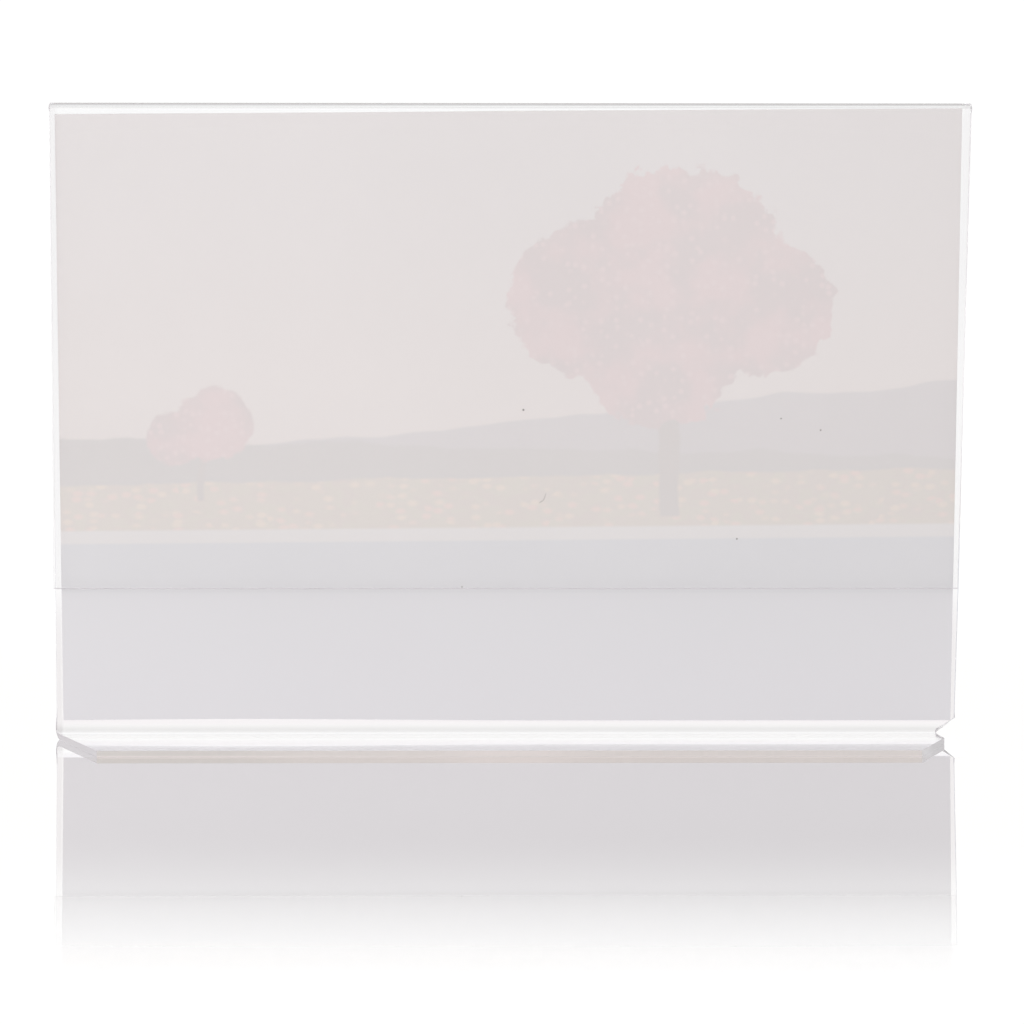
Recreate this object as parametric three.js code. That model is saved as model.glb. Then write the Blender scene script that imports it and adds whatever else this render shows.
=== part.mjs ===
// Slant-back acrylic sign holder with a landscape 5 x 7 in card in it.
// Millimetres, +Z up. The card is read from -Y, the foot runs back towards +Y and X is the width.
//
// The holder is one clear sheet, cut to an outline and bent twice. From its free edge the sheet runs
// forwards as the foot, turns up at the bend, rises as the front panel, folds right over at the top
// and comes down as the rear panel, which stops short of the foot. The card stands in the pocket
// between the two panels and slides out sideways.

import * as THREE from "three";

const DEGREE = Math.PI / 180;

// Sheet
const SHEET_THICKNESS = 1.2;
const SHEET_WIDTH = 180;
const PANEL_LEAN = 13 * DEGREE;
const BEND_INNER_RADIUS = 3.1;
const FOOT_LENGTH = 32.5; // flat part of the foot, from the bend to the free edge
const FOOT_EDGE_WIDTH = 162; // width at the foot's free edge, where both tapers end
const TAPER_INTO_BEND = 2.5; // how far past the foot's flat part the tapers begin
const REAR_EDGE_HEIGHT = 28.1; // rear panel's free edge above the bottom of the card

// Notch in the edge at the bend, on the -X side only, measured along the flat sheet
const NOTCH_INSET = 3.9;
const NOTCH_BELOW_PANEL = 1.1; // from the end of the front panel's flat part to the notch
const NOTCH_UPPER_FLANK = 2.9;
const NOTCH_FLOOR = 2.0;
const NOTCH_LOWER_FLANK = 9.3;

// Card and its clearances in the pocket
const CARD_WIDTH = 177.8;
const CARD_HEIGHT = 126;
const CARD_THICKNESS = 0.3;
const CARD_FACE_CLEARANCE = 0.3; // on each face of the card
const CARD_TOP_CLEARANCE = 0.6; // under the inside of the fold
const CARD_SEAT_GAP = 0.3; // between the card's lower edge and the inside of the bend

// Facets along each curved stretch, and how close two rings may lie before they count as one
const BEND_STEPS = 14;
const FOLD_STEPS = 12;
const SAME_PLACE = 1e-6;

// Sizes that follow from the ones above
const POCKET_GAP = CARD_THICKNESS + 2 * CARD_FACE_CLEARANCE;
const BEND_TURN = Math.PI / 2 + PANEL_LEAN;
const BEND_MIDDLE_RADIUS = BEND_INNER_RADIUS + SHEET_THICKNESS / 2;
const FOLD_MIDDLE_RADIUS = (POCKET_GAP + SHEET_THICKNESS) / 2;

// Heights along the front panel count from the end of the bend. The card's lower rear corner rests
// just inside the bend's inner surface, so it lies a little below zero.
const CARD_CORNER_OFFSET = BEND_INNER_RADIUS - CARD_FACE_CLEARANCE - CARD_THICKNESS;
const CARD_BOTTOM = -Math.sqrt((BEND_INNER_RADIUS - CARD_SEAT_GAP) ** 2 - CARD_CORNER_OFFSET ** 2);
const FRONT_PANEL_LENGTH = CARD_BOTTOM + CARD_HEIGHT + CARD_TOP_CLEARANCE - POCKET_GAP / 2;
const REAR_PANEL_LENGTH = FRONT_PANEL_LENGTH - CARD_BOTTOM - REAR_EDGE_HEIGHT;

// Distances along the middle of the sheet from the foot's free edge
const BEND_START = FOOT_LENGTH;
const BEND_END = BEND_START + BEND_TURN * BEND_MIDDLE_RADIUS;

// The stretches that the middle of the sheet runs through, with the angle that each one turns
const STRETCHES = [
  { length: FOOT_LENGTH, turn: 0, steps: 1 },
  { length: BEND_END - BEND_START, turn: BEND_TURN, steps: BEND_STEPS },
  { length: FRONT_PANEL_LENGTH, turn: 0, steps: 1 },
  { length: Math.PI * FOLD_MIDDLE_RADIUS, turn: Math.PI, steps: FOLD_STEPS },
  { length: REAR_PANEL_LENGTH, turn: 0, steps: 1 },
];

// Direction pointing into the bends, on the right of a heading in the Y-Z plane.
function inwardOf(heading) {
  return new THREE.Vector2(Math.sin(heading), -Math.cos(heading));
}

// Moves a place on the sheet on by a distance, along a straight or round a bend of that curvature.
function moveOn({ point, heading }, distance, curvature) {
  if (curvature === 0) {
    const step = new THREE.Vector2(Math.cos(heading), Math.sin(heading)).multiplyScalar(distance);
    return { point: point.clone().add(step), heading };
  }
  const radius = 1 / curvature;
  const newHeading = heading - distance * curvature;
  const centre = point.clone().addScaledVector(inwardOf(heading), radius);
  return { point: centre.addScaledVector(inwardOf(newHeading), -radius), heading: newHeading };
}

// Place of the sheet's middle in the Y-Z plane at a distance from the foot's free edge.
function sheetPlace(distance) {
  let place = { point: new THREE.Vector2(0, SHEET_THICKNESS / 2), heading: Math.PI };
  let left = distance;
  for (const { length, turn } of STRETCHES) {
    const travelled = Math.min(left, length);
    place = moveOn(place, travelled, turn / length);
    left -= travelled;
    if (left <= 0) break;
  }
  return place;
}

// Half of the blank's width, as corner points [distance from the foot's free edge, half width].
function taperOutline() {
  const taperEnd = BEND_START + TAPER_INTO_BEND;
  return [
    [0, FOOT_EDGE_WIDTH / 2],
    [taperEnd, SHEET_WIDTH / 2],
    [sheetLength(), SHEET_WIDTH / 2],
  ];
}

// The same outline with the notch cut into it at the bend.
function notchedOutline() {
  const plain = taperOutline();
  const upperEnd = BEND_END - NOTCH_BELOW_PANEL;
  const floorEnd = upperEnd - NOTCH_UPPER_FLANK;
  const floorStart = floorEnd - NOTCH_FLOOR;
  const lowerStart = floorStart - NOTCH_LOWER_FLANK;
  const floorHalfWidth = SHEET_WIDTH / 2 - NOTCH_INSET;
  return [
    plain[0],
    [lowerStart, halfWidthAt(plain, lowerStart)],
    [floorStart, floorHalfWidth],
    [floorEnd, floorHalfWidth],
    [upperEnd, SHEET_WIDTH / 2],
    plain[2],
  ];
}

function sheetLength() {
  return STRETCHES.reduce((sum, stretch) => sum + stretch.length, 0);
}

// Straight-line reading of an outline between its corner points.
function halfWidthAt(outline, distance) {
  const after = outline.findIndex(([corner]) => corner > distance);
  if (after < 0) return outline.at(-1)[1];
  const [fromDistance, fromWidth] = outline[after - 1];
  const [toDistance, toWidth] = outline[after];
  const share = (distance - fromDistance) / (toDistance - fromDistance);
  return THREE.MathUtils.lerp(fromWidth, toWidth, share);
}

// Every distance at which the sheet needs a ring: ends and facets of stretches, and outline corners.
function ringDistances(outlines) {
  const distances = outlines.flatMap((outline) => outline.map(([corner]) => corner));
  let start = 0;
  for (const { length, steps } of STRETCHES) {
    for (let step = 0; step < steps; step += 1) distances.push(start + (length * step) / steps);
    start += length;
  }
  distances.sort((a, b) => a - b);
  return distances.filter((value, index) => index === 0 || value - distances[index - 1] > SAME_PLACE);
}

// One closed solid: a ring of four corners at each distance, joined by quads and capped at both ends.
// The first outline shapes the edge at -X and the second one the edge at +X.
function sheetGeometry(lowOutline, highOutline) {
  const distances = ringDistances([lowOutline, highOutline]);
  const positions = [];
  for (const distance of distances) {
    const { point, heading } = sheetPlace(distance);
    const low = -halfWidthAt(lowOutline, distance);
    const high = halfWidthAt(highOutline, distance);
    const outer = point.clone().addScaledVector(inwardOf(heading), -SHEET_THICKNESS / 2);
    const inner = point.clone().addScaledVector(inwardOf(heading), SHEET_THICKNESS / 2);
    positions.push(low, outer.x, outer.y, high, outer.x, outer.y);
    positions.push(high, inner.x, inner.y, low, inner.x, inner.y);
  }
  const ringSize = 4;
  const indices = [0, 3, 2, 0, 2, 1];
  for (let ring = 0; ring < distances.length - 1; ring += 1) {
    for (let corner = 0; corner < ringSize; corner += 1) {
      const here = ring * ringSize + corner;
      const beside = ring * ringSize + ((corner + 1) % ringSize);
      indices.push(here, beside, beside + ringSize, here, beside + ringSize, here + ringSize);
    }
  }
  const last = (distances.length - 1) * ringSize;
  indices.push(last, last + 1, last + 2, last, last + 2, last + 3);
  const geometry = new THREE.BufferGeometry();
  geometry.setAttribute("position", new THREE.Float32BufferAttribute(positions, 3));
  geometry.setIndex(indices);
  const faceted = geometry.toNonIndexed();
  faceted.computeVertexNormals();
  return faceted;
}

function makeHolder() {
  const acrylic = new THREE.MeshStandardMaterial({
    color: 0xf1f3f4,
    roughness: 0.05,
    metalness: 0,
    transparent: true,
    opacity: 0.3,
  });
  const holder = new THREE.Mesh(sheetGeometry(notchedOutline(), taperOutline()), acrylic);
  holder.name = "acrylic_holder";
  return holder;
}

// The card in a group that leans with the front panel. The group's origin is where the bend ends,
// on the panel's inner surface.
function makeLeaningCard() {
  const paper = new THREE.MeshStandardMaterial({ color: 0xe4dedc, roughness: 0.8, metalness: 0 });
  const card = new THREE.Mesh(new THREE.BoxGeometry(CARD_WIDTH, CARD_THICKNESS, CARD_HEIGHT), paper);
  card.name = "insert_card";
  card.position.set(0, CARD_FACE_CLEARANCE + CARD_THICKNESS / 2, CARD_BOTTOM + CARD_HEIGHT / 2);

  const { point, heading } = sheetPlace(BEND_END);
  const pocket = new THREE.Group();
  const innerSurface = point.clone().addScaledVector(inwardOf(heading), SHEET_THICKNESS / 2);
  pocket.position.set(0, innerSurface.x, innerSurface.y);
  pocket.rotation.x = -PANEL_LEAN;
  pocket.add(card);
  return pocket;
}

// The origin is the middle of the object's footprint on the surface that it stands on.
const signHolder = new THREE.Group();
signHolder.add(makeHolder(), makeLeaningCard());
const extent = new THREE.Box3().setFromObject(signHolder, true);
signHolder.position.y = -(extent.min.y + extent.max.y) / 2;

export default signHolder;
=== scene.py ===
# Looks of the slant-back acrylic sign holder and of the printed card in its pocket.
# Metres, in the frame of the CAD model: the card is read from -Y, and the photograph was taken from
# behind, at +Y, where the card's print shows faintly through its back.

import math
from collections import namedtuple

import bpy
from mathutils import Matrix, Vector


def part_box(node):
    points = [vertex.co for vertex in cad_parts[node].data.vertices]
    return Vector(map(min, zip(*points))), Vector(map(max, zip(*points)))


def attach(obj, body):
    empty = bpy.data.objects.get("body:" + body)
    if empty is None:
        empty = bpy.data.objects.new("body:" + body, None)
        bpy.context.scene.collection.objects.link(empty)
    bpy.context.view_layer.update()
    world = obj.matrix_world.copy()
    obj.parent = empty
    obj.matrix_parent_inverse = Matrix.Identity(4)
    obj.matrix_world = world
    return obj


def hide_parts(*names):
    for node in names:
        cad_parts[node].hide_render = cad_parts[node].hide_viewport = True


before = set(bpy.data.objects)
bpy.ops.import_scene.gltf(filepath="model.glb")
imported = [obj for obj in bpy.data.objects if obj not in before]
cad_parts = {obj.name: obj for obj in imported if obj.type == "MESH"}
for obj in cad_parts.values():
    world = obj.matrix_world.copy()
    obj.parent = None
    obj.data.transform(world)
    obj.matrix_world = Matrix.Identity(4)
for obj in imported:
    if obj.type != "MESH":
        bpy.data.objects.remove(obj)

DEGREE = math.pi / 180
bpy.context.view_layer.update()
HOLDER_LOW, HOLDER_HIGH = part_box("acrylic_holder")
CARD_LOW, CARD_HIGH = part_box("insert_card")

# Acrylic sheet: foot, bend, front panel, fold and rear panel
SHEET_WIDTH = HOLDER_HIGH.x - HOLDER_LOW.x
SHEET_THICKNESS = 0.0012
PANEL_LEAN = 13 * DEGREE
BEND_INNER_RADIUS = 0.0031
FOOT_LENGTH = 0.0325
FOOT_EDGE_WIDTH = 0.162
TAPER_INTO_BEND = 0.0025
REAR_EDGE_HEIGHT = 0.0281
REAR_PANEL_SKEW = 0.0003  # sideways, towards +X, at the rear panel's free edge
EDGE_CHAMFER = 0.00005

# How much each side stands out low on the front panel, at the fold and at the rear panel's free edge
LOW_SIDE_FLARE = (0.00022, 0.00043, 0.0002)
HIGH_SIDE_FLARE = (0.00002, 0.00016, 0.0)
FLARE_HEIGHT = 0.028  # up the front panel, where the first of the three is reached

# The heated sheet swells sideways on the inside of its bends, and thins outside the fold
BULGE_AT_FOLD = 0.00022
BULGE_AT_BEND = 0.00015
BULGE_REACH = 0.0022
FOLD_THINNING = 0.00027  # of the sheet's thickness, at the top of the fold
THINNING_REACH = 0.0013

# Notch in the edge at the bend, on the -X side only, measured along the flat sheet
NOTCH_INSET = 0.0039
NOTCH_BELOW_PANEL = 0.0011
NOTCH_UPPER_FLANK = 0.0029
NOTCH_FLOOR = 0.0020
NOTCH_LOWER_FLANK = 0.0093

# Card
CARD_WIDTH = CARD_HIGH.x - CARD_LOW.x
CARD_HEIGHT = 0.126
CARD_THICKNESS = 0.0003
CARD_FACE_CLEARANCE = 0.0003
CARD_TOP_CLEARANCE = 0.0006
CARD_SEAT_GAP = 0.0003
CARD_TOP_DROP = 0.0001  # at the middle of the top edge
CARD_TOP_RISE = 0.0006  # the top edge is cut aslant, and is this much higher at -X and lower at +X
CARD_SIDE_SLANT = 0.00024  # both sides lean towards +X, by this much above and below the middle
CARD_FOOT_DROP = 0.00003  # of the lower edge, away from the hump that it has on its +X side
CARD_FOOT_HUMP = 0.00036
HUMP_AT = 0.6  # from the middle of the card, as a share of half its width, like the reach
HUMP_REACH = 0.42
CARD_BOW = 0.00006  # how far the card bellies backwards in its pocket

# Facets, and the rings that hold the flat stretches flat beside each bend
BEND_STEPS = 40
FOLD_STEPS = 36
EASE_STEPS = 10
EASE_LENGTH = 0.005
SAME_PLACE = 1e-6
SHARP_ANGLE = 30 * DEGREE
CARD_COLUMNS = 36
CARD_ROWS = 26

# Material slots of the sheet and of the card
BROAD_SLOT, FOOT_EDGE_SLOT, WORKED_EDGE_SLOT, SIDE_EDGE_SLOT, REAR_EDGE_SLOT = range(5)
FACE_SLOT, BACK_SLOT, RIM_SLOT = range(3)

# Sizes that follow from the ones above, as in the CAD source
POCKET_GAP = CARD_THICKNESS + 2 * CARD_FACE_CLEARANCE
BEND_TURN = math.pi / 2 + PANEL_LEAN
BEND_MIDDLE_RADIUS = BEND_INNER_RADIUS + SHEET_THICKNESS / 2
FOLD_MIDDLE_RADIUS = (POCKET_GAP + SHEET_THICKNESS) / 2
CARD_CORNER_OFFSET = BEND_INNER_RADIUS - CARD_FACE_CLEARANCE - CARD_THICKNESS
CARD_BOTTOM = -math.sqrt((BEND_INNER_RADIUS - CARD_SEAT_GAP) ** 2 - CARD_CORNER_OFFSET**2)
FRONT_PANEL_LENGTH = CARD_BOTTOM + CARD_HEIGHT + CARD_TOP_CLEARANCE - POCKET_GAP / 2
REAR_PANEL_LENGTH = FRONT_PANEL_LENGTH - CARD_BOTTOM - REAR_EDGE_HEIGHT

# Stretches that the middle of the sheet runs through from the foot's free edge
Stretch = namedtuple("Stretch", "length turn steps")
STRETCHES = [
    Stretch(FOOT_LENGTH, 0, 1),
    Stretch(BEND_TURN * BEND_MIDDLE_RADIUS, BEND_TURN, BEND_STEPS),
    Stretch(FRONT_PANEL_LENGTH, 0, 1),
    Stretch(math.pi * FOLD_MIDDLE_RADIUS, math.pi, FOLD_STEPS),
    Stretch(REAR_PANEL_LENGTH, 0, 1),
]
BEND_START, BEND_END, FOLD_START, FOLD_END, SHEET_LENGTH = (
    sum(stretch.length for stretch in STRETCHES[: count + 1]) for count in range(len(STRETCHES))
)

# Camera, behind the holder and a little to the +X side
CAMERA_PLACE = Vector((0.0353, 1.6356, 0.1705))
CAMERA_PITCH = 4.325 * DEGREE
CAMERA_YAW = 1.262 * DEGREE
CAMERA_ROLL = 0.0015
CAMERA_LENS = 291.3  # millimetres, as Blender has it
NEAR_CLIP, FAR_CLIP = 0.05, 40


def srgb(red, green, blue):
    """Linear colour, with alpha, of an 8-bit screen colour."""
    def linear(level):
        share = level / 255
        return share / 12.92 if share <= 0.04045 else ((share + 0.055) / 1.055) ** 2.4

    return (linear(red), linear(green), linear(blue), 1.0)


WHITE = (1, 1, 1, 1)


# The bent sheet


def inward_of(heading):
    """Direction in the Y-Z plane that points into the bends, on the right of a heading."""
    return Vector((math.sin(heading), -math.cos(heading)))


def move_on(point, heading, distance, curvature):
    """Place and heading after a distance along a straight, or round a bend of that curvature."""
    if curvature == 0:
        return point + distance * Vector((math.cos(heading), math.sin(heading))), heading
    radius = 1 / curvature
    new_heading = heading - distance * curvature
    centre = point + radius * inward_of(heading)
    return centre - radius * inward_of(new_heading), new_heading


def sheet_place(distance):
    """Place and heading of the sheet's middle, in the Y-Z plane, at a distance from the foot's edge."""
    point, heading = Vector((HOLDER_HIGH.y, SHEET_THICKNESS / 2)), math.pi
    left = distance
    for stretch in STRETCHES:
        travelled = min(left, stretch.length)
        point, heading = move_on(point, heading, travelled, stretch.turn / stretch.length)
        left -= travelled
        if left <= 0:
            break
    return point, heading


def taper_outline(flare):
    """Half of the blank's width as corners (distance from the foot's free edge, half width)."""
    low_flare, fold_flare, end_flare = flare
    half = SHEET_WIDTH / 2
    return [
        (0, FOOT_EDGE_WIDTH / 2),
        (BEND_START + TAPER_INTO_BEND, half),
        (BEND_END, half),
        (BEND_END + FLARE_HEIGHT, half + low_flare),
        (FOLD_START, half + fold_flare),
        (FOLD_END, half + fold_flare),
        (SHEET_LENGTH, half + end_flare),
    ]


def notched_outline(flare):
    """The same outline with the notch cut into it at the bend."""
    plain = taper_outline(flare)
    upper_end = BEND_END - NOTCH_BELOW_PANEL
    floor_end = upper_end - NOTCH_UPPER_FLANK
    floor_start = floor_end - NOTCH_FLOOR
    lower_start = floor_start - NOTCH_LOWER_FLANK
    return [
        plain[0],
        (lower_start, half_width_at(plain, lower_start)),
        (floor_start, SHEET_WIDTH / 2 - NOTCH_INSET),
        (floor_end, SHEET_WIDTH / 2 - NOTCH_INSET),
        (upper_end, SHEET_WIDTH / 2),
        *plain[2:],
    ]


def half_width_at(outline, distance):
    """Straight-line reading of an outline between its corners."""
    for (start, start_width), (end, end_width) in zip(outline, outline[1:]):
        if distance <= end:
            share = (distance - start) / (end - start)
            return start_width + share * (end_width - start_width)
    return outline[-1][1]


def hump(value, middle, reach):
    """A smooth hump of height 1, e times lower at its reach from the middle."""
    return math.exp(-(((value - middle) / reach) ** 2))


def bulge_at(distance):
    """How far the heated sheet swells sideways: a smooth hump over the bend and one over the fold."""
    over_bend = hump(distance, (BEND_START + BEND_END) / 2, BULGE_REACH)
    over_fold = hump(distance, (FOLD_START + FOLD_END) / 2, BULGE_REACH)
    return BULGE_AT_BEND * over_bend + BULGE_AT_FOLD * over_fold


def thinning_at(distance):
    """How much the sheet's outer side is drawn in where it was stretched round the fold."""
    return FOLD_THINNING * hump(distance, (FOLD_START + FOLD_END) / 2, THINNING_REACH)


def ring_distances(outlines):
    """Where the sheet has a ring: facets, ends of stretches, corners of outlines and eased stretches."""
    distances = [corner for outline in outlines for corner, _ in outline]
    start = 0
    for stretch in STRETCHES:
        distances += [start + stretch.length * step / stretch.steps for step in range(stretch.steps)]
        end = start + stretch.length
        if stretch.turn:
            eases = [EASE_LENGTH * (step / EASE_STEPS) ** 2 for step in range(EASE_STEPS + 1)]
            distances += [start - ease for ease in eases] + [end + ease for ease in eases]
        start = end
    kept = []
    for distance in sorted(distances):
        inside = EDGE_CHAMFER + SAME_PLACE < distance < SHEET_LENGTH - EDGE_CHAMFER - SAME_PLACE
        if inside and (not kept or distance - kept[-1] > SAME_PLACE):
            kept.append(distance)
    return kept


def sheet_ring(distance, inset, low_outline, high_outline):
    """Eight corners round the sheet's section, with chamfered edges, drawn in by inset at an end."""
    point, heading = sheet_place(distance)
    skew = REAR_PANEL_SKEW * max(0, distance - FOLD_END) / REAR_PANEL_LENGTH
    depth = SHEET_THICKNESS / 2 - inset
    outer_depth = depth - thinning_at(distance)
    chamfer = EDGE_CHAMFER / 2 if inset else EDGE_CHAMFER
    low = skew - half_width_at(low_outline, distance) + inset
    high = skew + half_width_at(high_outline, distance) - inset
    swell = bulge_at(distance)
    corners = [
        (low + chamfer, -outer_depth),
        (high - chamfer, -outer_depth),
        (high, chamfer - outer_depth),
        (high + swell, depth - chamfer),
        (high + swell - chamfer, depth),
        (low - swell + chamfer, depth),
        (low - swell, depth - chamfer),
        (low, chamfer - outer_depth),
    ]
    ring = []
    for x, inward in corners:
        y, z = point + inward * inward_of(heading)
        ring.append((x, y, z))
    return ring


def edge_slot(distance):
    """Slot of the sheet's side edges: the ones that were bent or trimmed get darker tones, as painted
    shade, than the panels'.
    """
    worked = distance < BEND_END or FOLD_START <= distance < FOLD_END
    return WORKED_EDGE_SLOT if worked else SIDE_EDGE_SLOT


def sheet_mesh():
    """The holder as one closed solid, with a slot for its broad sides and one for each kind of edge."""
    outlines = (notched_outline(LOW_SIDE_FLARE), taper_outline(HIGH_SIDE_FLARE))
    places = [(0, EDGE_CHAMFER), (EDGE_CHAMFER, 0)]
    places += [(distance, 0) for distance in ring_distances(outlines)]
    places += [(SHEET_LENGTH - EDGE_CHAMFER, 0), (SHEET_LENGTH, EDGE_CHAMFER)]
    rings = [sheet_ring(distance, inset, *outlines) for distance, inset in places]
    size = len(rings[0])
    broad_sides = (0, size // 2)
    faces, slots = [], []
    for ring, (distance, _) in enumerate(places[:-1]):
        for corner in range(size):
            here = ring * size + corner
            beside = ring * size + (corner + 1) % size
            faces.append((here, beside, beside + size, here + size))
            if ring == 0:
                slots.append(FOOT_EDGE_SLOT)
            elif corner in broad_sides:
                slots.append(BROAD_SLOT)
            else:
                slots.append(edge_slot(distance))
    last = (len(rings) - 1) * size
    faces += [tuple(reversed(range(size))), tuple(last + corner for corner in range(size))]
    slots += [FOOT_EDGE_SLOT, REAR_EDGE_SLOT]
    return made_mesh("clear_sheet", [corner for ring in rings for corner in ring], faces, slots)


def made_mesh(name, vertices, faces, slots):
    """A smooth-shaded mesh whose edges are sharp where two faces meet at more than the sharp angle."""
    mesh = bpy.data.meshes.new(name)
    mesh.from_pydata(vertices, [], faces)
    mesh.polygons.foreach_set("material_index", slots)
    mesh.validate()
    mesh.shade_smooth()
    mesh.set_sharp_from_angle(angle=SHARP_ANGLE)
    mesh.update()
    return mesh


# The card


def card_sides(share_up):
    """X of the card's two sides at a share of its height."""
    lean = CARD_SIDE_SLANT * (2 * share_up - 1)
    return lean - CARD_WIDTH / 2, lean + CARD_WIDTH / 2


def card_ends(across):
    """Heights of the card's lower and upper edge, from -1 at its -X side to 1 at its +X side."""
    bottom = CARD_BOTTOM - CARD_FOOT_DROP + CARD_FOOT_HUMP * hump(across, HUMP_AT, HUMP_REACH)
    top = CARD_BOTTOM + CARD_HEIGHT - CARD_TOP_DROP - CARD_TOP_RISE * across
    return bottom, top


def card_layer(side):
    """Points of one broad face, row by row from the bottom: side is -1 for the front, 1 for the back."""
    middle = CARD_FACE_CLEARANCE + CARD_THICKNESS / 2
    points = []
    for row in range(CARD_ROWS + 1):
        share_up = row / CARD_ROWS
        low, high = card_sides(share_up)
        for column in range(CARD_COLUMNS + 1):
            share_across = column / CARD_COLUMNS
            across = 2 * share_across - 1
            bottom, top = card_ends(across)
            belly = CARD_BOW * math.cos(across * math.pi / 2) * math.sin(share_up * math.pi)
            x = low + share_across * (high - low)
            y = middle + side * CARD_THICKNESS / 2 + belly
            points.append((x, y, bottom + share_up * (top - bottom)))
    return points


def card_border():
    """Indices of a layer's outermost points, in order round the card."""
    row_size = CARD_COLUMNS + 1
    border = list(range(row_size))
    border += [row * row_size + CARD_COLUMNS for row in range(1, CARD_ROWS + 1)]
    border += [CARD_ROWS * row_size + column for column in reversed(range(CARD_COLUMNS))]
    border += [row * row_size for row in reversed(range(1, CARD_ROWS))]
    return border


def card_mesh():
    """The card in its own frame: X across, Y from the front face to the back, Z up the panel."""
    front, back = card_layer(-1), card_layer(1)
    behind = len(front)
    row_size = CARD_COLUMNS + 1
    faces, slots = [], []
    for row in range(CARD_ROWS):
        for column in range(CARD_COLUMNS):
            corner = row * row_size + column
            quad = (corner, corner + 1, corner + row_size + 1, corner + row_size)
            faces += [quad, tuple(behind + index for index in reversed(quad))]
            slots += [FACE_SLOT, BACK_SLOT]
    border = card_border()
    for here, beside in zip(border, border[1:] + border[:1]):
        faces.append((beside, here, here + behind, beside + behind))
        slots.append(RIM_SLOT)
    return made_mesh("printed_card", front + back, faces, slots)


# Node trees


class Graph:
    """A node tree written as calls. An input is a number, a colour or another node's output."""

    def __init__(self, tree):
        self.tree = tree
        tree.nodes.clear()

    def node(self, kind, inputs=None, **settings):
        made = self.tree.nodes.new(kind)
        for name, value in settings.items():
            setattr(made, name, value)
        for name, value in (inputs or {}).items():
            if isinstance(value, bpy.types.NodeSocket):
                self.tree.links.new(value, made.inputs[name])
            else:
                made.inputs[name].default_value = value
        return made

    def math(self, operation, *values, clamp=False):
        inputs = dict(enumerate(values))
        return self.node("ShaderNodeMath", inputs, operation=operation, use_clamp=clamp).outputs[0]

    def step(self, value, start, end):
        """0 before start and 1 past end, smooth between them."""
        inputs = {"Value": value, "From Min": start, "From Max": end}
        kind = "ShaderNodeMapRange"
        return self.node(kind, inputs, interpolation_type="SMOOTHSTEP").outputs["Result"]

    def between(self, value, start, middle, end):
        """0 before start and past end, and 1 at the middle."""
        return self.math("MULTIPLY", self.step(value, start, middle), self.step(value, end, middle))

    def range(self, value, low, high):
        """A value from 0 to 1 spread over low to high."""
        inputs = {"Value": value, "To Min": low, "To Max": high}
        return self.node("ShaderNodeMapRange", inputs).outputs["Result"]

    def mix(self, share, first, second, blend="MIX"):
        inputs = {0: share, 6: first, 7: second}
        return self.node("ShaderNodeMix", inputs, data_type="RGBA", blend_type=blend).outputs[2]

    def noise(self, place, scale, detail, roughness=0.5):
        """Random patches from 0 to 1, about as many to the metre as the scale says."""
        inputs = {"Vector": place, "Scale": scale, "Detail": detail, "Roughness": roughness}
        return self.node("ShaderNodeTexNoise", inputs).outputs["Fac"]

    def cells(self, place, scale):
        """Distance to the middle of a random cell, and the random levels that each cell has."""
        made = self.node("ShaderNodeTexVoronoi", {"Vector": place, "Scale": scale}).outputs
        return made["Distance"], self.node("ShaderNodeSeparateColor", {"Color": made["Color"]}).outputs

    def distance(self, first, at_first, second, at_second):
        """Distance in a plane between a place and a point of it."""
        offset = self.math("SUBTRACT", first, at_first)
        other = self.math("SUBTRACT", second, at_second)
        squares = self.math("MULTIPLY_ADD", other, other, self.math("MULTIPLY", offset, offset))
        return self.math("SQRT", squares)

    def stretched(self, place, factors):
        """The place with each of its axes multiplied."""
        return self.node("ShaderNodeVectorMath", {0: place, 1: factors}, operation="MULTIPLY").outputs[0]

    def place(self):
        """The place on the object, in its own frame."""
        return self.node("ShaderNodeTexCoord").outputs["Object"]

    def axes(self, vector):
        return self.node("ShaderNodeSeparateXYZ", {"Vector": vector}).outputs

    def bump(self, height, distance, strength):
        inputs = {"Height": height, "Distance": distance, "Strength": strength}
        return self.node("ShaderNodeBump", inputs).outputs["Normal"]

    def principled(self, inputs):
        return self.node("ShaderNodeBsdfPrincipled", inputs).outputs[0]

    def blend(self, share, first, second):
        """A mix of two shaders."""
        return self.node("ShaderNodeMixShader", {0: share, 1: first, 2: second}).outputs[0]

    def show(self, shader):
        self.node("ShaderNodeOutputMaterial", {"Surface": shader})


def new_material(name):
    """A material and the graph of its nodes."""
    material = bpy.data.materials.new(name)
    material.use_nodes = True
    return material, Graph(material.node_tree)


# Acrylic

ACRYLIC_IOR = 1.49

# Share of light that passes a broad face of the sheet on its way to the card, and a cut edge
FACE_LETS_IN = (0.99, 0.99, 0.99, 1)
EDGE_LETS_IN = (0.78, 0.78, 0.78, 1)

# Light that has run to and fro in the sheet for this many bounces goes straight on, and this is left
TRAPPED_BOUNCES = 20
LEFT_OF_TRAPPED = (0.65, 0.62, 0.62, 1)

# Colours of the clear sheet: in its haze patches, in the foot, which is left clearest as painted light,
# and painted shade in the bend and at the cut sides
CLEAR_GREYS = srgb(249, 249, 249), srgb(254, 254, 254)
FOOT_COLOUR = srgb(255, 255, 255)
BEND_PAINTED_SHADE = srgb(246, 243, 245)
SIDE_PAINTED_SHADE = srgb(240, 238, 239)

# Where painted shade greys the sheet: from the middle to its sides, and up the sides
SIDE_SHADE_ACROSS = (0.0884, 0.0892)
SIDE_SHADE_HEIGHT = (0.022, 0.034)
SIDE_SHADE_ABOVE = 0.25

# Heights between which painted shade greys the bend a little, and where the foot, left clearer as
# painted light, starts behind it
BEND_SHADE_HEIGHTS = (0.0021, 0.0034, 0.0050)
FOOT_FROM = (-0.0151, -0.0131)
FOOT_TOP = (0.0020, 0.0013)

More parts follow.
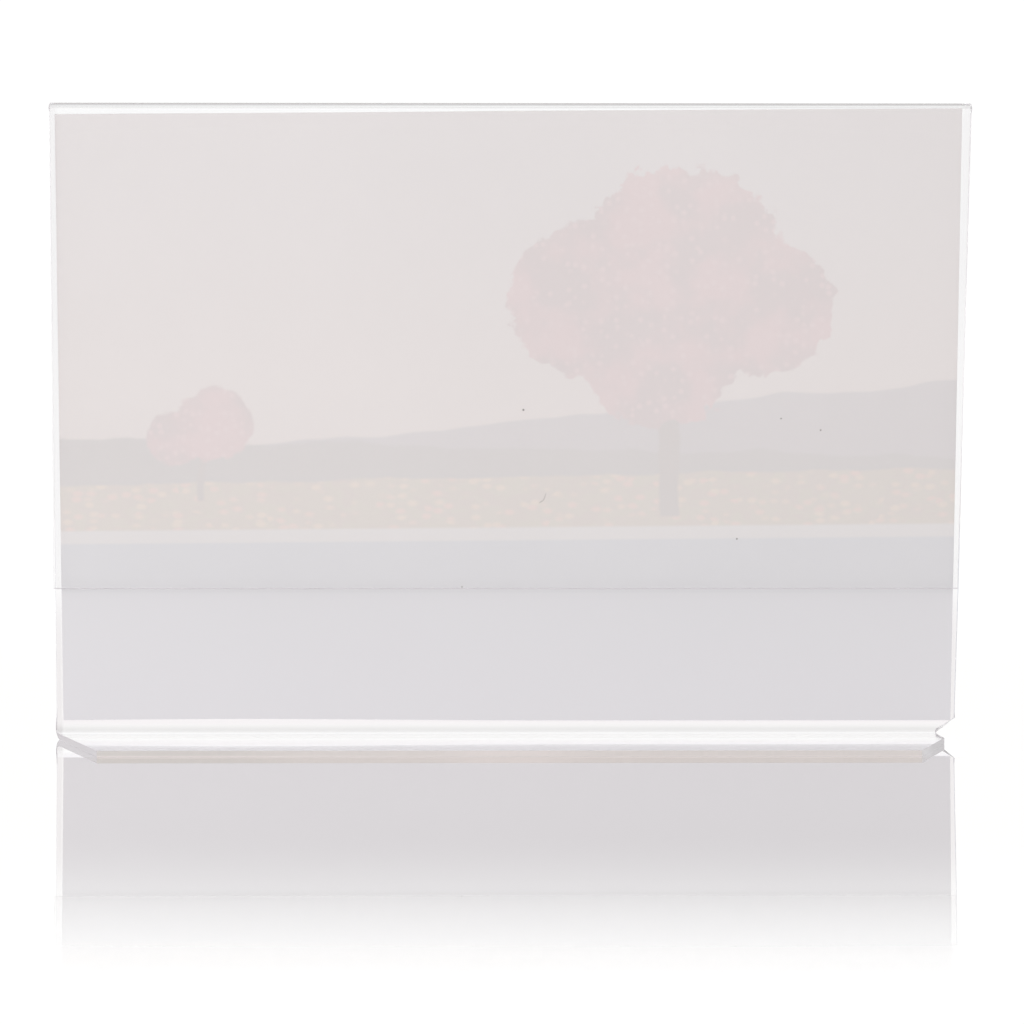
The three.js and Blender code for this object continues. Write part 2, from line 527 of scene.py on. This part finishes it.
# Haze patches, and upright wipe marks where the polish is a little duller
HAZE_SCALE = 18
WIPE_STRETCH = (40, 40, 9)
WIPE_SCALE = 3
WIPE_MARKS = (0.45, 0.8)
SHEET_ROUGHNESS = (0.004, 0.03)

# Cut edges: a dark and a light tone of each, in patches, with fine marks. The worked and rear edges'
# tones are darkened as painted shade.
FOOT_EDGE_TONES = srgb(228, 222, 218), srgb(248, 238, 235)
WORKED_EDGE_SHADE_TONES = srgb(194, 188, 193), srgb(202, 196, 200)
SIDE_EDGE_TONES = srgb(250, 247, 249), srgb(254, 252, 253)
REAR_EDGE_SHADE_TONES = srgb(222, 217, 221), srgb(228, 223, 227)
EDGE_PATCH_SCALE = 45
EDGE_MARK_SCALE = 900

# The foot's sawn edge has upright saw marks, is palest near the middle, has a painted highlight along
# its lower rim and is deeper towards +X. The shares say how much each of these adds to its tone, from a
# level below 0.
SAW_MARK_STRETCH = (1, 0.03, 0.03)
SAW_MARK_SCALE = 1500
SAW_MARK_SHARE = 0.6
PALE_WITHIN = (0.018, 0.004)
PALE_SHARE = 0.38
DEEP_FROM = (0.058, 0.038)
NOT_DEEP_SHARE = 0.4
LOWEST_TONE = -0.25
RIM_HIGHLIGHT_HEIGHTS = (0.0003, 0.00015)


def let_light_in(graph, glass, share):
    """Glass for what is seen through it, and a plain clear film for light on its way to what it covers.

    Light that is trapped between its faces goes straight out in the end.
    """
    path = graph.node("ShaderNodeLightPath").outputs
    lights = graph.math("ADD", path["Is Shadow Ray"], path["Is Diffuse Ray"], clamp=True)
    film = graph.node("ShaderNodeBsdfTransparent", {"Color": share}).outputs[0]
    trapped = graph.math("GREATER_THAN", path["Ray Depth"], TRAPPED_BOUNCES)
    way_out = graph.node("ShaderNodeBsdfTransparent", {"Color": LEFT_OF_TRAPPED}).outputs[0]
    return graph.blend(trapped, graph.blend(lights, glass, film), way_out)


def acrylic_colour_and_shade(graph, place, haze):
    """Painted shade as a breath of grey: none in the foot, more in the bend, and most along the cut
    sides, low down.
    """
    axes = graph.axes(place)
    # the foot is left clearest, as painted light
    in_foot = graph.math("MULTIPLY", graph.step(axes["Y"], *FOOT_FROM), graph.step(axes["Z"], *FOOT_TOP))
    clear = graph.mix(in_foot, graph.mix(haze, *CLEAR_GREYS), FOOT_COLOUR)
    # painted shade: the bend a little greyer
    clear = graph.mix(graph.between(axes["Z"], *BEND_SHADE_HEIGHTS), clear, BEND_PAINTED_SHADE)
    # painted shade: greyer along the cut sides, low down
    at_side = graph.step(graph.math("ABSOLUTE", axes["X"]), *SIDE_SHADE_ACROSS)
    low = graph.range(graph.step(axes["Z"], *SIDE_SHADE_HEIGHT), 1.0, SIDE_SHADE_ABOVE)
    return graph.mix(graph.math("MULTIPLY", at_side, low), clear, SIDE_PAINTED_SHADE)


def clear_acrylic():
    """Polished acrylic with faint haze patches, wipe marks and a very slight waviness."""
    material, graph = new_material("clear_acrylic")
    place = graph.place()
    haze = graph.noise(place, HAZE_SCALE, detail=3)
    wipe = graph.noise(graph.stretched(place, WIPE_STRETCH), WIPE_SCALE, detail=4, roughness=0.6)
    glass = graph.principled({
        "Base Color": acrylic_colour_and_shade(graph, place, haze),
        "Roughness": graph.range(graph.step(wipe, *WIPE_MARKS), *SHEET_ROUGHNESS),
        "IOR": ACRYLIC_IOR,
        "Transmission Weight": 1.0,
        "Normal": graph.bump(haze, distance=0.00002, strength=0.2),
    })
    graph.show(let_light_in(graph, glass, FACE_LETS_IN))
    return material


def patchy_tone(graph, place):
    """A tone from 0 to 1 in soft patches."""
    return graph.noise(place, EDGE_PATCH_SCALE, detail=3)


def sawn_tone(graph, place):
    """The tone of the foot's edge: upright saw marks, palest at the middle, and a painted highlight
    along its lower rim.
    """
    axes = graph.axes(place)
    marks = graph.noise(graph.stretched(place, SAW_MARK_STRETCH), SAW_MARK_SCALE, detail=2)
    pale = graph.step(graph.math("ABSOLUTE", axes["X"]), *PALE_WITHIN)
    not_deep = graph.step(axes["X"], *DEEP_FROM)
    tone = graph.math("MULTIPLY_ADD", not_deep, NOT_DEEP_SHARE, LOWEST_TONE)
    tone = graph.math("MULTIPLY_ADD", pale, PALE_SHARE, tone)
    tone = graph.math("MULTIPLY_ADD", marks, SAW_MARK_SHARE, tone, clamp=True)
    # a painted highlight along the lower rim, where the edge meets the floor
    return graph.math("MAXIMUM", tone, graph.step(axes["Z"], *RIM_HIGHLIGHT_HEIGHTS))


def cut_edge(name, tones, transmission, roughness, tone=patchy_tone):
    """A cut edge, somewhere between clear and frosted, in two close tones, with faint marks."""
    material, graph = new_material(name)
    place = graph.place()
    marks = graph.noise(place, EDGE_MARK_SCALE, detail=3, roughness=0.6)
    glass = graph.principled({
        "Base Color": graph.mix(tone(graph, place), *tones),
        "Roughness": graph.range(marks, *roughness),
        "IOR": ACRYLIC_IOR,
        "Transmission Weight": transmission,
        "Normal": graph.bump(marks, distance=0.00001, strength=0.2),
    })
    graph.show(let_light_in(graph, glass, EDGE_LETS_IN))
    return material


def holder_materials():
    """One material for each slot of the sheet, in their order."""
    return [
        clear_acrylic(),
        cut_edge("foot_edge", FOOT_EDGE_TONES, transmission=0.35, roughness=(0.25, 0.5), tone=sawn_tone),
        # painted shade: the bent and trimmed edges are greyed
        cut_edge("worked_edge_shaded", WORKED_EDGE_SHADE_TONES, transmission=0.12, roughness=(0.15, 0.3)),
        cut_edge("side_edge", SIDE_EDGE_TONES, transmission=0.2, roughness=(0.2, 0.3)),
        # painted shade: the rear panel's free edge is grey, for a dark line along it
        cut_edge("rear_edge_shaded", REAR_EDGE_SHADE_TONES, transmission=0.0, roughness=(0.6, 0.7)),
    ]


# Print on the card, measured from the picture's lower border, which runs parallel to the top edge

PRINT_TILT = 0.009
PICTURE_BOTTOM = 0.0394  # above the end of the bend, at the middle of the card
STRIPE_WIDTH = 0.0027
PRINT_BLUR = 0.00006
GHOST_BLUR = 0.0004  # of the print's outlines, seen through the paper
SHOW_THROUGH = 0.14  # how strongly the print shows on the back

# Colours of the print
SKY_HIGH = srgb(232, 233, 240)
SKY_LOW = srgb(252, 241, 239)
FAR_RIDGE = srgb(150, 150, 172)
NEAR_RIDGE = srgb(98, 104, 112)
GRASS = srgb(186, 152, 114)
DRY_GRASS = srgb(186, 176, 110)
FLOWER = srgb(250, 172, 134)
STRAW_FLOWER = srgb(250, 214, 150)
BLOSSOM = srgb(226, 120, 140)
BLOSSOM_SHADE = srgb(166, 84, 106)
BLOSSOM_LIGHT = srgb(244, 172, 184)
BARK = srgb(92, 66, 58)
BLANK_PAPER = srgb(232, 241, 248)
LABEL_BAND = srgb(148, 190, 228)
# painted light: the plain band's lighter lower end
LABEL_BAND_PAINTED_LIGHT = srgb(184, 215, 254)

# Heights between which the sky changes colour, and between which painted light makes the plain band
# lighter towards its foot
SKY_FADE = (0.02, 0.085)
BAND_PAINTED_LIGHT_HEIGHTS = (-0.010, -0.040)

# Skylines: height at the middle, rise towards +X, and how high and how often they roll
ACROSS_ONLY = (1, 0, 0)
Skyline = namedtuple("Skyline", "height slope roll scale")
FAR_SKYLINE = Skyline(0.022, -0.09, 0.010, 22)
NEAR_SKYLINE = Skyline(0.0165, 0.03, 0.006, 48)
MEADOW_SKYLINE = Skyline(0.0105, -0.012, 0.003, 60)

# Trees: crowns as circles with ragged outlines, and trunks that waver
Crown = namedtuple("Crown", "across up radius")
CROWNS = [
    Crown(-0.034, 0.053, 0.021), Crown(-0.016, 0.047, 0.016), Crown(-0.050, 0.045, 0.014),
    Crown(-0.030, 0.038, 0.017), Crown(0.058, 0.022, 0.0075), Crown(0.066, 0.019, 0.0055),
]
CROWN_RAG = 0.5  # as a share of the radius
CROWN_RAG_SCALE = 220
Trunk = namedtuple("Trunk", "across foot top half_width")
TRUNKS = [Trunk(-0.032, 0.002, 0.040, 0.0019), Trunk(0.061, 0.006, 0.022, 0.0007)]
TRUNK_WAVER = 0.003
TRUNK_WAVER_SCALE = 90

# Meadow: cells, flatter than wide, with a flower in about half of them
MEADOW_STRETCH = (1, 0, 1.6)
MEADOW_CELLS = 420
FLOWER_RADIUS = 0.42
FLOWER_SPREAD = 500  # how much the blur softens a flower, as a share of its cell, for each metre
FLOWER_LEVELS = (0.4, 0.5)

# Blossom: clouds of light and shade, and pale single blossoms in about half of the cells
SHADE_SCALE = 95
SHADE_LEVELS = (0.4, 0.62)
BLOSSOM_CELLS = 620
BLOSSOM_REACH = (0.5, 0.2)
BLOSSOM_LEVELS = (0.45, 0.6)
BLOSSOM_STRENGTH = 0.7


class Landscape:
    """The print as node calls: an evening landscape above a blank stripe and a plain band, which painted
    light makes lighter towards its foot.

    The blur is how far an outline spreads to either side.
    """

    def __init__(self, graph, blur):
        self.graph = graph
        self.blur = blur
        self.place = graph.place()
        axes = graph.axes(self.place)
        self.across = axes["X"]
        lift = graph.math("MULTIPLY_ADD", self.across, PRINT_TILT, -PICTURE_BOTTOM)
        self.up = graph.math("ADD", axes["Z"], lift)

    def short_of(self, value, border):
        """1 before a border and 0 past it."""
        return self.graph.step(value, border + self.blur, border - self.blur)

    def below(self, skyline):
        """1 under a rolling skyline, 0 above it."""
        graph = self.graph
        height, slope, roll, scale = skyline
        rolls = graph.noise(graph.stretched(self.place, ACROSS_ONLY), scale, detail=3)
        wave = graph.math("MULTIPLY_ADD", rolls, -roll, roll / 2 - height)
        depth = graph.math("ADD", graph.math("MULTIPLY_ADD", self.across, -slope, wave), self.up)
        return self.short_of(depth, 0)

    def crowns(self):
        """1 inside the trees' crowns, with a ragged outline."""
        graph = self.graph
        rag = graph.noise(self.place, CROWN_RAG_SCALE, detail=4, roughness=0.65)
        rag = graph.math("MULTIPLY_ADD", rag, CROWN_RAG, 1 - CROWN_RAG / 2)
        mask = 0.0
        for crown in CROWNS:
            reach = graph.distance(self.across, crown.across, self.up, crown.up)
            inside = self.short_of(graph.math("MULTIPLY", reach, rag), crown.radius)
            mask = graph.math("MAXIMUM", mask, inside)
        return mask

    def trunks(self):
        """1 inside the trees' trunks, which waver a little."""
        graph = self.graph
        waver = graph.noise(self.place, TRUNK_WAVER_SCALE, detail=2)
        waver = graph.math("MULTIPLY_ADD", waver, TRUNK_WAVER, -TRUNK_WAVER / 2)
        wavering = graph.math("ADD", self.across, waver)
        mask = 0.0
        for trunk in TRUNKS:
            middle = (trunk.foot + trunk.top) / 2
            offset = graph.math("ABSOLUTE", graph.math("SUBTRACT", wavering, trunk.across))
            height = graph.math("ABSOLUTE", graph.math("SUBTRACT", self.up, middle))
            inside = self.short_of(height, (trunk.top - trunk.foot) / 2)
            inside = graph.math("MULTIPLY", inside, self.short_of(offset, trunk.half_width))
            mask = graph.math("MAXIMUM", mask, inside)
        return mask

    def meadow(self):
        """Grass dotted with flowers."""
        graph = self.graph
        reach, levels = graph.cells(graph.stretched(self.place, MEADOW_STRETCH), MEADOW_CELLS)
        spread = FLOWER_SPREAD * self.blur
        flower = graph.step(reach, FLOWER_RADIUS + spread, FLOWER_RADIUS - spread)
        flower = graph.math("MULTIPLY", flower, graph.step(levels["Red"], *FLOWER_LEVELS))
        grass = graph.mix(levels["Blue"], GRASS, DRY_GRASS)
        return graph.mix(flower, grass, graph.mix(levels["Green"], FLOWER, STRAW_FLOWER))

    def blossoms(self):
        """Clouds of blossom in light and shade, dotted with single ones."""
        graph = self.graph
        light = graph.step(graph.noise(self.place, SHADE_SCALE, detail=3), *SHADE_LEVELS)
        reach, levels = graph.cells(self.place, BLOSSOM_CELLS)
        single = graph.step(reach, *BLOSSOM_REACH)
        single = graph.math("MULTIPLY", single, graph.step(levels["Red"], *BLOSSOM_LEVELS))
        single = graph.math("MULTIPLY", single, BLOSSOM_STRENGTH)
        return graph.mix(single, graph.mix(light, BLOSSOM_SHADE, BLOSSOM), BLOSSOM_LIGHT)

    def colour(self):
        graph = self.graph
        colour = graph.mix(graph.step(self.up, *SKY_FADE), SKY_LOW, SKY_HIGH)
        colour = graph.mix(self.below(FAR_SKYLINE), colour, FAR_RIDGE)
        colour = graph.mix(self.below(NEAR_SKYLINE), colour, NEAR_RIDGE)
        colour = graph.mix(self.below(MEADOW_SKYLINE), colour, self.meadow())
        colour = graph.mix(self.trunks(), colour, BARK)
        colour = graph.mix(self.crowns(), colour, self.blossoms())
        colour = graph.mix(self.short_of(self.up, 0), colour, BLANK_PAPER)
        # painted light: the band turns lighter towards its foot
        band = graph.mix(graph.step(self.up, *BAND_PAINTED_LIGHT_HEIGHTS), LABEL_BAND, LABEL_BAND_PAINTED_LIGHT)
        return graph.mix(self.short_of(self.up, -STRIPE_WIDTH), colour, band)


# Card

COATING_GRAIN_SCALE = 2600
COATING_ROUGHNESS = (0.28, 0.42)
MOTTLE_SCALE = 30
MOTTLE_TONES = (0.96, 0.96, 0.96, 1), WHITE
FIBRE_SCALE = 1500
PAPER_ROUGHNESS = (0.55, 0.75)
PAPER_PATCH_SCALE = 14
PAPER_TONES = srgb(231, 225, 224), srgb(234, 228, 227)
RIM_LAYER_STRETCH = (300, 9000, 300)
RIM_TONES = srgb(222, 217, 215), srgb(240, 237, 235)
RIM_ROUGHNESS = (0.7, 0.9)

# Dust on the card's back, and a hair as a chain of dots: place across, height, radius
SPECK_COLOUR = srgb(132, 124, 120)
SPECKS = [
    (-0.0030, 0.0638, 0.00028), (-0.0541, 0.0620, 0.00020), (-0.0620, 0.0596, 0.00022),
    (-0.0457, 0.0370, 0.00022), (0.0090, 0.0270, 0.00016),
    (-0.0075, 0.0463, 0.00012), (-0.0074, 0.0459, 0.00013), (-0.0073, 0.0455, 0.00014),
    (-0.0071, 0.0451, 0.00015), (-0.0067, 0.0448, 0.00014), (-0.0064, 0.0446, 0.00012),
]


def printed_face():
    """The card's front: the print under a satin coating."""
    material, graph = new_material("printed_face")
    landscape = Landscape(graph, PRINT_BLUR)
    grain = graph.noise(landscape.place, COATING_GRAIN_SCALE, detail=3)
    mottle = graph.mix(graph.noise(landscape.place, MOTTLE_SCALE, detail=3), *MOTTLE_TONES)
    graph.show(graph.principled({
        "Base Color": graph.mix(1.0, landscape.colour(), mottle, "MULTIPLY"),
        "Roughness": graph.range(grain, *COATING_ROUGHNESS),
        "Normal": graph.bump(grain, distance=0.00001, strength=0.3),
    }))
    return material


def speck_mask(graph, place):
    """1 inside the small dark specks."""
    axes = graph.axes(place)
    mask = 0.0
    for at_x, at_z, radius in SPECKS:
        reach = graph.distance(axes["X"], at_x, axes["Z"], at_z)
        mask = graph.math("MAXIMUM", mask, graph.step(reach, radius, radius / 2))
    return mask


def card_back():
    """The card's back: uncoated paper through which the print shows faintly, with a few specks."""
    material, graph = new_material("card_back")
    landscape = Landscape(graph, GHOST_BLUR)
    place = landscape.place
    fibres = graph.noise(place, FIBRE_SCALE, detail=4, roughness=0.6)
    paper = graph.mix(graph.noise(place, PAPER_PATCH_SCALE, detail=3), *PAPER_TONES)
    ghost = graph.mix(SHOW_THROUGH, WHITE, landscape.colour())
    colour = graph.mix(1.0, paper, ghost, "MULTIPLY")
    graph.show(graph.principled({
        "Base Color": graph.mix(speck_mask(graph, place), colour, SPECK_COLOUR),
        "Roughness": graph.range(fibres, *PAPER_ROUGHNESS),
        "Normal": graph.bump(fibres, distance=0.00001, strength=0.3),
    }))
    return material


def card_rim():
    """The cut rim of the card, with the paper's layers as fine lines."""
    material, graph = new_material("card_rim")
    layers = graph.noise(graph.stretched(graph.place(), RIM_LAYER_STRETCH), scale=1, detail=3)
    graph.show(graph.principled({
        "Base Color": graph.mix(layers, *RIM_TONES),
        "Roughness": graph.range(layers, *RIM_ROUGHNESS),
        "Normal": graph.bump(layers, distance=0.00002, strength=0.4),
    }))
    return material


# Surroundings

WORLD_LIGHT = 0.77  # from all round, on whatever scatters light
WHITE_LEVEL = 1.07  # of the background, which stays white through the floor's mirror and shade
ZENITH_SHARE = 0.7  # of the white level, seen by glass and mirrors straight above
ZENITH_RISE = (0.5, 0.95)  # of a look, where the background turns from white to the zenith's share
SEAM = (0.12, 0.205, 0.42)  # rise of the studio's faint seam, beyond -Y: its start, middle and end
SEAM_SHADE = 0.155

FLOOR_HALF_SIZE = 9.0
FLOOR_GAP = 0.00002  # under the foot, so that the two surfaces don't coincide
FLOOR_COLOUR = (0.86, 0.86, 0.86, 1)
FLOOR_SHADE = 0.12  # share of the white floor that keeps light and shadow
STEEP_SHARE = 0.62  # of the white level, of the floor seen from straight above
STEEP_RANGE = (0.15, 0.7)  # from a steep look to a flat one, as Layer Weight's Facing has it

# The floor's mirror is full up to one distance from the middle and gone at another, on rings that
# are twice as wide as deep, and it grows in strength from a steep look to a flat one
MIRROR_FULL = 0.150
MIRROR_GONE = 0.39
MIRROR_RINGS = (0.5, 1, 0)
MIRROR_STRENGTHS = (0.04, 0.97)
MIRROR_RANGE = (0.3, 0.86)  # of the look, as in the steep range
MIRROR_TINT = (0.945, 0.936, 0.93, 1)
# Painted light: a clearer mirror under the foot, which brightens the foot
PAINTED_LIGHT_UNDER_FOOT = (0.985, 0.985, 0.985, 1)  # where light runs to and fro between floor and foot

# Soft lamps, with their places, widths and powers in watts
Softbox = namedtuple("Softbox", "name place width power")
SOFTBOXES = [
    Softbox("key_softbox", (0.75, 0.95, 0.35), 0.5, 5.6),
    Softbox("front_softbox", (-0.8, -1.2, 1.0), 1.0, 8),
]
LIGHT_BOUNCES = 24  # enough for light that runs between the foot's two faces and the floor


def seen_share(graph):
    """1 for what is seen straight or by glass and mirrors alone, and 0 for what only lights."""
    path = graph.node("ShaderNodeLightPath").outputs
    clear = graph.math("ADD", path["Is Glossy Ray"], path["Is Transmission Ray"], clamp=True)
    clear = graph.math("ADD", path["Is Camera Ray"], clear, clamp=True)
    not_scattered = graph.math("LESS_THAN", path["Diffuse Depth"], 0.5)
    return graph.math("MULTIPLY", clear, not_scattered)


def make_world():
    """A white studio: white where it is seen, and a plain soft level where it lights the object."""
    world = bpy.data.worlds.new("white_studio")
    bpy.context.scene.world = world
    world.use_nodes = True
    graph = Graph(world.node_tree)
    axes = graph.axes(graph.node("ShaderNodeTexCoord").outputs["Generated"])
    zenith = graph.step(axes["Z"], *ZENITH_RISE)
    white = graph.range(zenith, WHITE_LEVEL, WHITE_LEVEL * ZENITH_SHARE)
    beyond = graph.math("LESS_THAN", axes["Y"], 0.0)
    seam = graph.math("MULTIPLY", graph.between(axes["Z"], *SEAM), beyond)
    level = graph.math("MULTIPLY", white, graph.range(seam, 1.0, 1 - SEAM_SHADE))
    seen = graph.node("ShaderNodeBackground", {"Color": WHITE, "Strength": level})
    light = graph.node("ShaderNodeBackground", {"Color": WHITE, "Strength": WORLD_LIGHT})
    surface = graph.blend(seen_share(graph), light.outputs[0], seen.outputs[0])
    graph.node("ShaderNodeOutputWorld", {"Surface": surface})


def mirror_tint(graph, place):
    """The tint of the floor's reflections, which is nearly clear under the foot, as painted light that
    brightens the foot.
    """
    axes = graph.axes(place)
    in_width = graph.math("LESS_THAN", graph.math("ABSOLUTE", axes["X"]), SHEET_WIDTH / 2)
    in_depth = graph.math("LESS_THAN", graph.math("ABSOLUTE", axes["Y"]), HOLDER_HIGH.y)
    return graph.mix(graph.math("MULTIPLY", in_width, in_depth), MIRROR_TINT, PAINTED_LIGHT_UNDER_FOOT)


def floor_material():
    """Glossy white: a mirror at a low angle, whose reflection fades out round the object."""
    material, graph = new_material("white_floor")
    place = graph.place()
    facing = graph.node("ShaderNodeLayerWeight", {"Blend": 0.5}).outputs["Facing"]
    lit = graph.node("ShaderNodeBsdfDiffuse", {"Color": FLOOR_COLOUR})
    level = graph.range(graph.step(facing, *STEEP_RANGE), WHITE_LEVEL * STEEP_SHARE, WHITE_LEVEL)
    white = graph.node("ShaderNodeEmission", {"Color": WHITE, "Strength": level})
    white_share = graph.math("MULTIPLY", seen_share(graph), 1 - FLOOR_SHADE)
    base = graph.blend(white_share, lit.outputs[0], white.outputs[0])
    rings = graph.stretched(place, MIRROR_RINGS)
    distance = graph.node("ShaderNodeVectorMath", {0: rings}, operation="LENGTH").outputs["Value"]
    near = graph.step(distance, MIRROR_GONE, MIRROR_FULL)
    grazing = graph.range(graph.step(facing, *MIRROR_RANGE), *MIRROR_STRENGTHS)
    tint = mirror_tint(graph, place)
    mirror = graph.node("ShaderNodeBsdfAnisotropic", {"Color": tint, "Roughness": 0.0})
    graph.show(graph.blend(graph.math("MULTIPLY", near, grazing), base, mirror.outputs[0]))
    return material


def add_object(name, data, materials=()):
    """A new object of the scene, with its materials in its slots."""
    made = bpy.data.objects.new(name, data)
    bpy.context.scene.collection.objects.link(made)
    for material in materials:
        data.materials.append(material)
    return made


def make_floor():
    size = FLOOR_HALF_SIZE
    corners = [(-size, -size, -FLOOR_GAP), (size, -size, -FLOOR_GAP)]
    corners += [(size, size, -FLOOR_GAP), (-size, size, -FLOOR_GAP)]
    mesh = bpy.data.meshes.new("floor")
    mesh.from_pydata(corners, [], [(0, 1, 2, 3)])
    floor = add_object("floor", mesh, [floor_material()])
    floor.visible_diffuse = False  # so that light comes evenly from below too


def make_softbox(softbox):
    """A square soft lamp that looks at the middle of the object and isn't itself seen."""
    lamp = bpy.data.lights.new(softbox.name, "AREA")
    lamp.shape = "SQUARE"
    lamp.size = softbox.width
    lamp.energy = softbox.power
    made = add_object(softbox.name, lamp)
    made.location = softbox.place
    aim = Vector((0, 0, HOLDER_HIGH.z / 2)) - made.location
    made.rotation_euler = aim.to_track_quat("-Z", "Y").to_euler()
    made.visible_camera = False


def make_camera():
    camera = bpy.data.cameras.new("photo_camera")
    camera.lens = CAMERA_LENS
    camera.clip_start = NEAR_CLIP
    camera.clip_end = FAR_CLIP
    made = add_object("photo_camera", camera)
    facing = Matrix.Rotation(math.pi - CAMERA_YAW, 4, "Z")
    tilt = Matrix.Rotation(math.pi / 2 - CAMERA_PITCH, 4, "X")
    roll = Matrix.Rotation(CAMERA_ROLL, 4, "Z")
    made.matrix_world = Matrix.Translation(CAMERA_PLACE) @ facing @ tilt @ roll
    bpy.context.scene.camera = made


def set_up_rendering():
    scene = bpy.context.scene
    scene.view_settings.view_transform = "Standard"
    scene.cycles.max_bounces = LIGHT_BOUNCES
    scene.cycles.glossy_bounces = LIGHT_BOUNCES
    scene.cycles.transmission_bounces = LIGHT_BOUNCES


def make_holder():
    holder = add_object("clear_holder", sheet_mesh(), holder_materials())
    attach(holder, "holder")
    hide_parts("acrylic_holder")


def make_card():
    card = add_object("printed_card", card_mesh(), [printed_face(), card_back(), card_rim()])
    point, heading = sheet_place(BEND_END)
    y, z = point + SHEET_THICKNESS / 2 * inward_of(heading)
    card.matrix_world = Matrix.Translation((0, y, z)) @ Matrix.Rotation(-PANEL_LEAN, 4, "X")
    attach(card, "card")
    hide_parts("insert_card")


make_camera()
make_holder()
make_card()
make_world()
make_floor()
for softbox in SOFTBOXES:
    make_softbox(softbox)
set_up_rendering()
